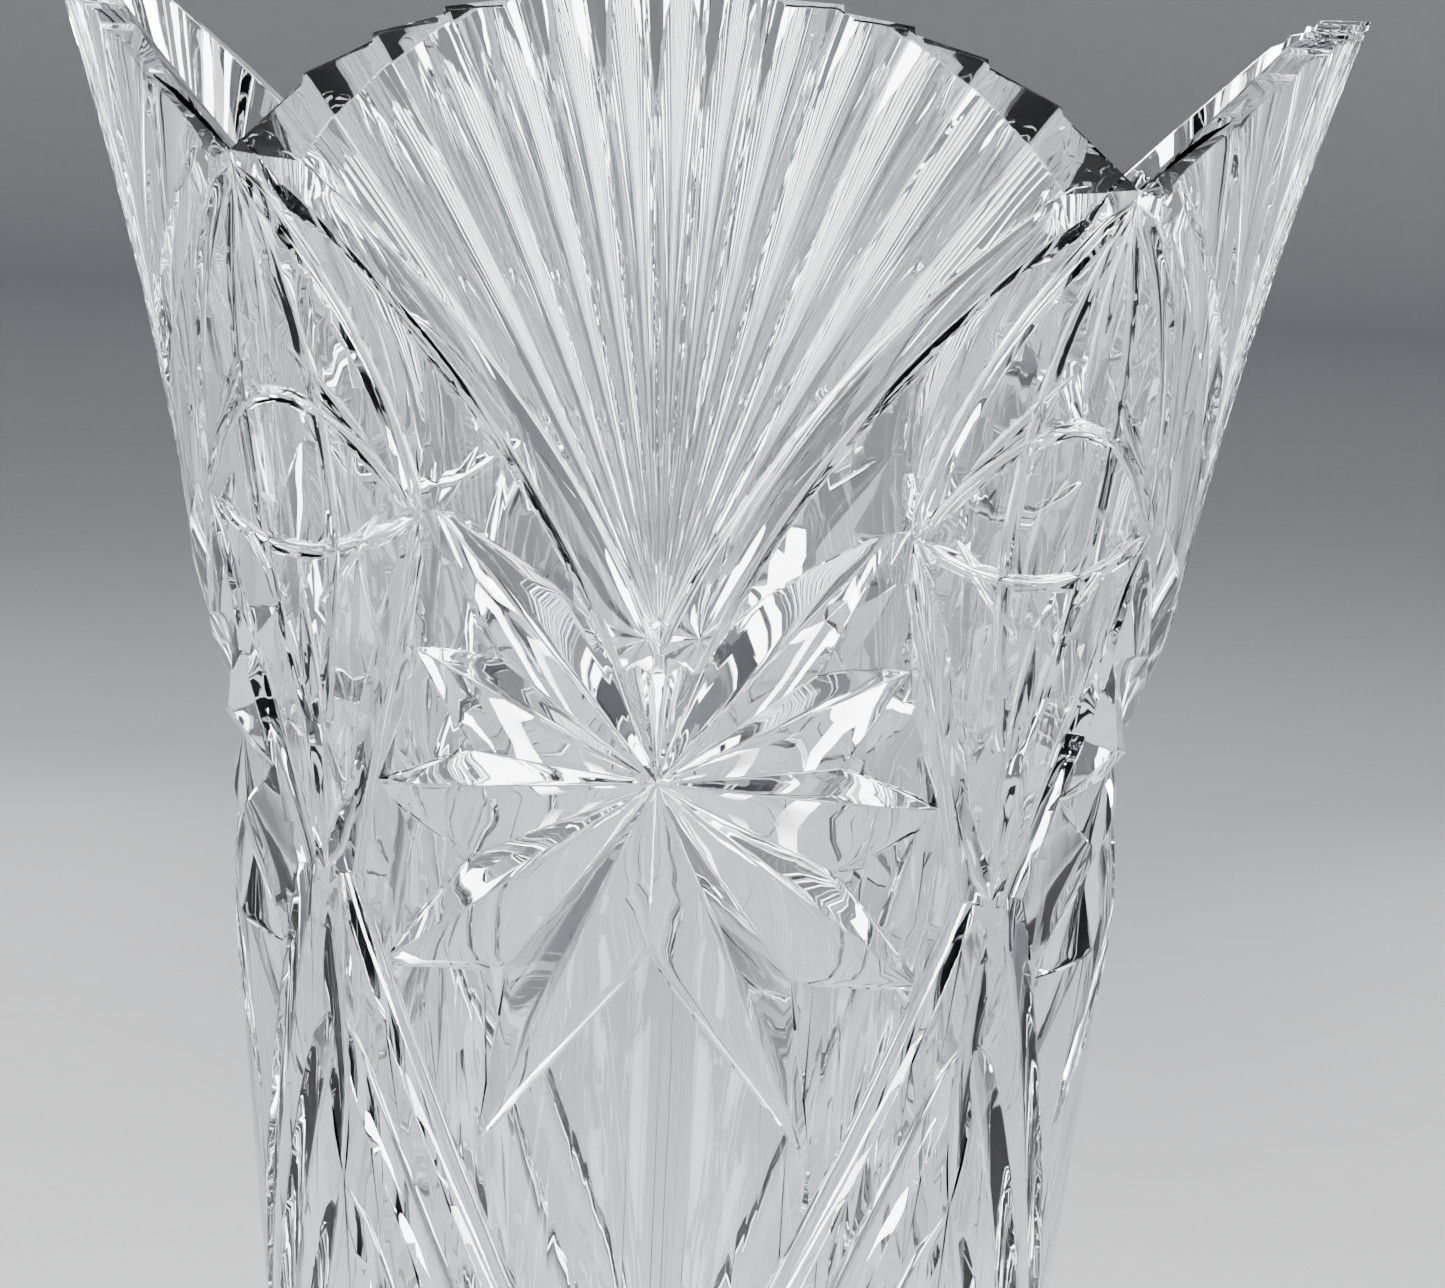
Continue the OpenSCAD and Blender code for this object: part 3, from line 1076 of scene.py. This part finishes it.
@dataclass(frozen=True)
class Room:
    """The grey room above the floor's rim, with tall pale screens standing round it at even gaps."""

    name: str = "grey_room_with_screens"
    wall: str = "2E3034"
    screen: str = "F4F6FA"
    screens: int = 5
    screen_edge: Spot = (0.55, 0.75)
    screen_foot: Spot = (0.1, 0.2)
    screen_head: Spot = (0.75, 0.55)
    strength: float = 2.2

    def build(self) -> bpy.types.World:
        """Makes the world.

        Returns:
            The world.
        """
        world = bpy.data.worlds.new(self.name)
        world.use_nodes = True
        world.node_tree.nodes.clear()
        way = add_node(world, "ShaderNodeTexCoord").outputs["Generated"]
        round_it = add_node(world, "ShaderNodeTexGradient", links={"Vector": way}, gradient_type="RADIAL")
        wave = add_node(world, "ShaderNodeMath", {1: math.tau * self.screens},
                        {0: round_it.outputs["Fac"]}, operation="MULTIPLY")
        wave = add_node(world, "ShaderNodeMath", links={0: wave.outputs[0]}, operation="SINE")
        height = add_node(world, "ShaderNodeSeparateXYZ", links={"Vector": way}).outputs["Z"]
        # Each screen has soft sides, a soft foot and a soft head.
        stand, foot, head = (
            add_node(world, "ShaderNodeMapRange", {"From Min": start, "From Max": end}, {"Value": value},
                     interpolation_type="SMOOTHSTEP")
            for value, (start, end) in ((wave.outputs[0], self.screen_edge), (height, self.screen_foot),
                                        (height, self.screen_head)))
        panel = add_node(world, "ShaderNodeMath", links={0: stand.outputs[0], 1: foot.outputs[0]},
                         operation="MULTIPLY")
        panel = add_node(world, "ShaderNodeMath", links={0: panel.outputs[0], 1: head.outputs[0]},
                         operation="MULTIPLY")
        tone = add_node(world, "ShaderNodeMix", {"A": linear(self.wall), "B": linear(self.screen)},
                        {"Factor": panel.outputs[0]}, data_type="RGBA")
        light = add_node(world, "ShaderNodeBackground", {"Strength": self.strength},
                         {"Color": result(tone)})
        add_node(world, "ShaderNodeOutputWorld", links={"Surface": light.outputs[0]})
        return world


@dataclass(frozen=True)
class Studio:
    """The pale floor, the soft light and the camera. The floor, its cove and the lights are in metres."""

    floor_radius: float = 6.0
    cove: float = 1.6
    cove_steps: int = 12
    away: float = 770.8
    eye_turn: float = 2.67
    eye_height: float = 250.5
    heading: float = 2.296
    pitch: float = 5.38
    roll: float = 2.525
    lens: float = 148.27
    strip_turns: tuple[float, ...] = (-24.0, -11.0, 12.0, 27.0)
    strip_away: float = 1.7
    strip_height: float = 0.5
    strip_size: Spot = (0.16, 0.8)
    strip_power: float = 3.4
    strip_spread: float = 40.0
    boxes: tuple[SoftBox, ...] = (
        SoftBox("key_left", -48.0, 1.5, 1.25, (0.35, 0.8), 10.0),
        SoftBox("fill_right", 62.0, 1.7, 0.9, (0.2, 0.9), 6.0),
        SoftBox("top", 170.0, 0.5, 1.9, (0.5, 0.5), 5.0),
        SoftBox("back_left", -140.0, 1.6, 1.0, (0.2, 1.1), 10.0),
        SoftBox("back_right", 135.0, 1.8, 0.8, (0.2, 1.0), 8.0),
    )

    def lay_floor(self) -> bpy.types.Object:
        """Lays the floor, which curves up into a low wall all round, so that no horizon shows.

        Returns:
            The floor.
        """
        deselect_all()
        bpy.ops.mesh.primitive_circle_add(vertices=128, radius=self.floor_radius, fill_type="NGON")
        floor = bpy.context.object
        floor.name = floor.data.name = "studio_floor"
        bpy.ops.object.mode_set(mode="EDIT")
        bpy.ops.mesh.select_all(action="SELECT")
        bpy.ops.mesh.normals_make_consistent(inside=True)
        bpy.ops.mesh.region_to_loop()
        reach, height = self.floor_radius, 0.0
        for i in range(1, self.cove_steps + 1):
            a = math.radians(90 * i / self.cove_steps)
            next_reach = self.floor_radius + self.cove * math.sin(a)
            next_height = self.cove * (1 - math.cos(a))
            bpy.ops.mesh.extrude_edges_move(
                TRANSFORM_OT_translate={"value": (0, 0, next_height - height)})
            bpy.ops.transform.resize(value=(next_reach / reach, next_reach / reach, 1),
                                     center_override=(0, 0, 0))
            reach, height = next_reach, next_height
        bpy.ops.object.mode_set(mode="OBJECT")
        hold(floor)
        bpy.ops.object.shade_smooth()
        floor.data.materials.append(StudioPaper().build())
        floor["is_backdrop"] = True
        LOG.info("floor: %.0f m across", 2 * (self.floor_radius + self.cove))
        return floor

    def light(self, aim: Vector) -> None:
        """Hangs the soft boxes and tones the room.

        Args:
            aim: What the lights look at, in metres.
        """
        for box in self.boxes:
            box.build(aim)
        for turn in self.strip_turns:
            for side in range(SIDES):
                SoftBox("strip", turn + QUARTER * side, self.strip_away, self.strip_height,
                        self.strip_size, self.strip_power, False, self.strip_spread).build(
                            Vector((0, 0, self.strip_height)))
        bpy.context.scene.world = Room().build()
        LOG.info("lights: %d soft boxes, %d strips", len(self.boxes), len(self.strip_turns) * SIDES)

    def place_camera(self) -> None:
        """Sets the camera up in front of the vase, level with its rim and tipped a little."""
        turn, heading, pitch, roll = (math.radians(a) for a in
                                      (self.eye_turn, self.heading, self.pitch, self.roll))
        ahead = Vector((-math.sin(heading) * math.cos(pitch), math.cos(heading) * math.cos(pitch),
                        -math.sin(pitch)))
        level = Vector((math.cos(heading), math.sin(heading), 0))
        upright = level.cross(ahead)
        right = level * math.cos(roll) + upright * math.sin(roll)
        up = right.cross(ahead)
        camera = bpy.data.cameras.new("camera")
        camera.lens = self.lens
        camera.sensor_width = 36.0
        camera.sensor_fit = "HORIZONTAL"
        camera.clip_start, camera.clip_end = 0.01, 100.0
        eye = bpy.data.objects.new("camera", camera)
        bpy.context.collection.objects.link(eye)
        place = Vector((self.away * math.sin(turn), -self.away * math.cos(turn), self.eye_height)) * MM
        eye.matrix_world = Matrix.Translation(place) @ Matrix((right, up, -ahead)).transposed().to_4x4()
        bpy.context.scene.camera = eye


def main() -> None:
    """Builds the vase and the studio round it."""
    logging.basicConfig(level=logging.INFO, format="%(name)s: %(message)s")
    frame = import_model()
    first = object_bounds()
    wall = Wall.from_frame(Vector(first[0]), Vector(first[1]))
    LOG.info("wall: top %.1f, foot radius %.2f, lean %.3f, flare %.2f", wall.top, wall.foot_r, wall.lean,
             wall.flare_add)
    vase = Vase(wall).build()
    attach(vase, "root")
    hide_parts(*frame["nodes"])
    studio = Studio()
    studio.lay_floor()
    studio.light(Vector((0.0, 0.0, wall.top * MM * 0.55)))
    studio.place_camera()


if __name__ == "__main__":
    main()
